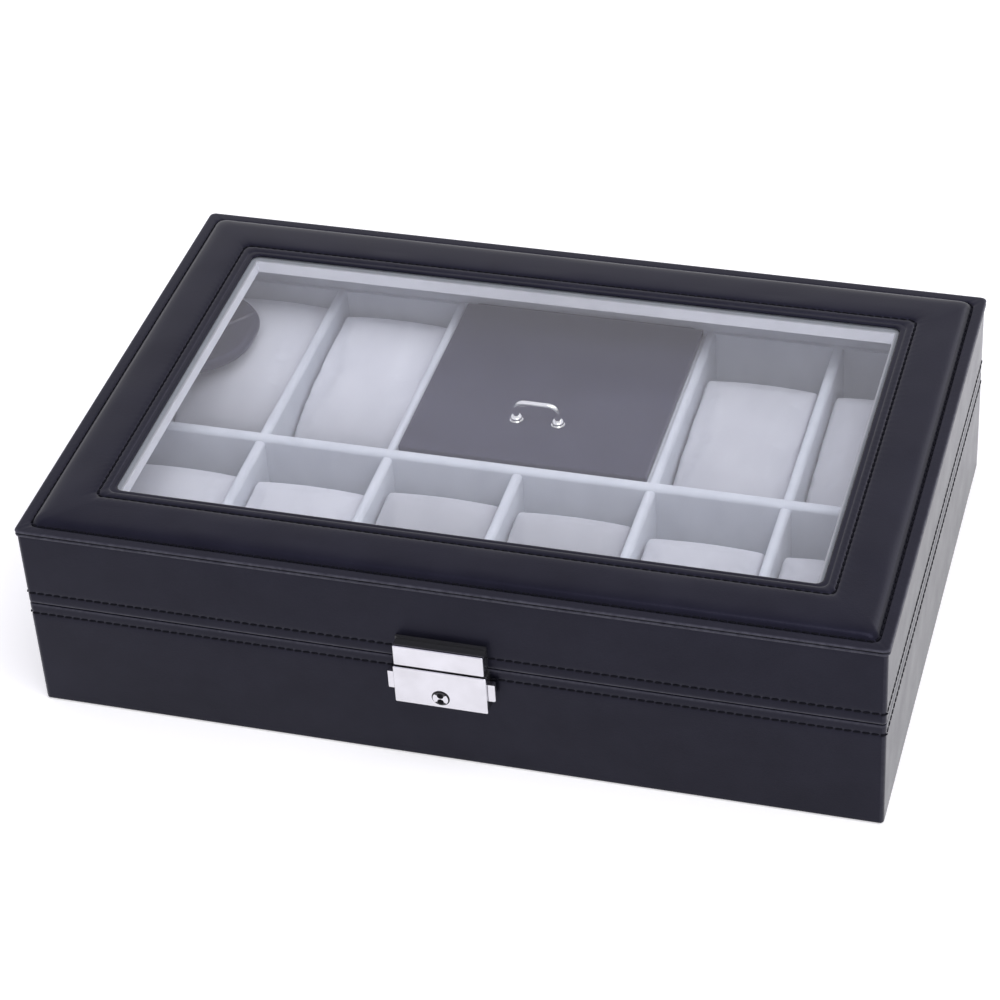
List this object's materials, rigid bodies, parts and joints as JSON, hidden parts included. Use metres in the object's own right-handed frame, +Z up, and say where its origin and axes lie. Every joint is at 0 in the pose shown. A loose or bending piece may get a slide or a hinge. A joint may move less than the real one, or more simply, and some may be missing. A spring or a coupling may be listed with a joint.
{
  "type": "watch box",
  "caption": "Black leather watch box with a glass lid, a velvet tray of pillows, a small lidded jewellery compartment and a chrome press lock.",
  "frame": {"origin": "centre of the underside, on the surface it stands on", "axes": "+X along the long side to the right seen from the lock, +Y from the lock to the hinges, +Z up"},
  "size_m": [0.3012, 0.2093, 0.0794],
  "materials": {
    "black_leather": "satin",
    "board": "matte",
    "velvet": "matte",
    "pillow_velvet": "matte",
    "glass": "polished",
    "chrome": "polished",
    "steel": "satin",
    "padding": "matte",
    "bottom_cover": "matte"
  },
  "bodies": {
    "base": {"back_dividers": "velvet", "back_pillow_1": "pillow_velvet", "back_pillow_2": "pillow_velvet", "back_pillow_3": "pillow_velvet", "back_pillow_4": "pillow_velvet", "base_back_panel": "board", "base_bottom_panel": "board", "base_front_panel": "board", "base_leather": "black_leather", "base_left_panel": "board", "base_right_panel": "board", "bottom_cover": "bottom_cover", "front_dividers": "velvet", "front_pillow_1": "pillow_velvet", "front_pillow_2": "pillow_velvet", "front_pillow_3": "pillow_velvet", "front_pillow_4": "pillow_velvet", "front_pillow_5": "pillow_velvet", "front_pillow_6": "pillow_velvet", "hinge_base_leaves": "steel", "hinge_base_screws": "steel", "hinge_pins": "steel", "inner_lid_hinge_strip": "black_leather", "inner_lid_ledges": "board", "lid_stay_strap": "black_leather", "liner_back": "velvet", "liner_floor": "velvet", "liner_front": "velvet", "liner_left": "velvet", "liner_right": "velvet", "lock_case": "chrome", "lock_spring": "steel", "row_divider": "velvet"},
    "lid": {"hinge_lid_leaves": "steel", "hinge_lid_screws": "steel", "latch_catch": "chrome", "lid_back_panel": "board", "lid_frame_board": "board", "lid_front_panel": "board", "lid_left_panel": "board", "lid_right_panel": "board", "lid_side_leather": "black_leather", "lid_top_leather": "black_leather", "lid_top_padding": "padding", "lid_wall_lining": "velvet", "window_glass": "glass", "window_lining": "velvet"},
    "inner_lid": {"inner_lid_board": "board", "inner_lid_leather": "black_leather", "inner_lid_lining": "velvet", "inner_lid_handle": "chrome", "handle_collars": "chrome", "handle_screws": "steel"},
    "left_button": {"left_button": "chrome"},
    "right_button": {"right_button": "chrome"},
    "lock_barrel": {"lock_barrel": "chrome"}
  },
  "joints": [
    {"name": "lid_hinge", "type": "hinge", "parent": "base", "child": "lid", "pos_m": [0, 0.1021, 0.0444], "axis": [-1, 0, 0], "range_deg": [0, 95], "deforming": ["lid_stay_strap"]},
    {"name": "inner_lid_hinge", "type": "hinge", "parent": "base", "child": "inner_lid", "pos_m": [0, 0.093, 0.0522], "axis": [-1, 0, 0], "range_deg": [0, 86], "deforming": ["inner_lid_hinge_strip"]},
    {"name": "left_button_press", "type": "slide", "parent": "base", "child": "left_button", "axis": [1, 0, 0], "range_m": [0, 0.002], "stiffness_N_per_m": 300, "springref_m": -0.003, "deforming": ["lock_spring"]},
    {"name": "right_button_press", "type": "slide", "parent": "base", "child": "right_button", "axis": [-1, 0, 0], "range_m": [0, 0.002], "stiffness_N_per_m": 300, "springref_m": -0.003, "deforming": ["lock_spring"]},
    {"name": "key_turn", "type": "hinge", "parent": "base", "child": "lock_barrel", "pos_m": [0, -0.103, 0.03265], "axis": [0, 1, 0], "range_deg": [0, 90]}
  ],
  "couplings": [
    {"joint": "inner_lid_hinge", "follows": "lid_hinge", "ratio": 0.9}
  ]
}
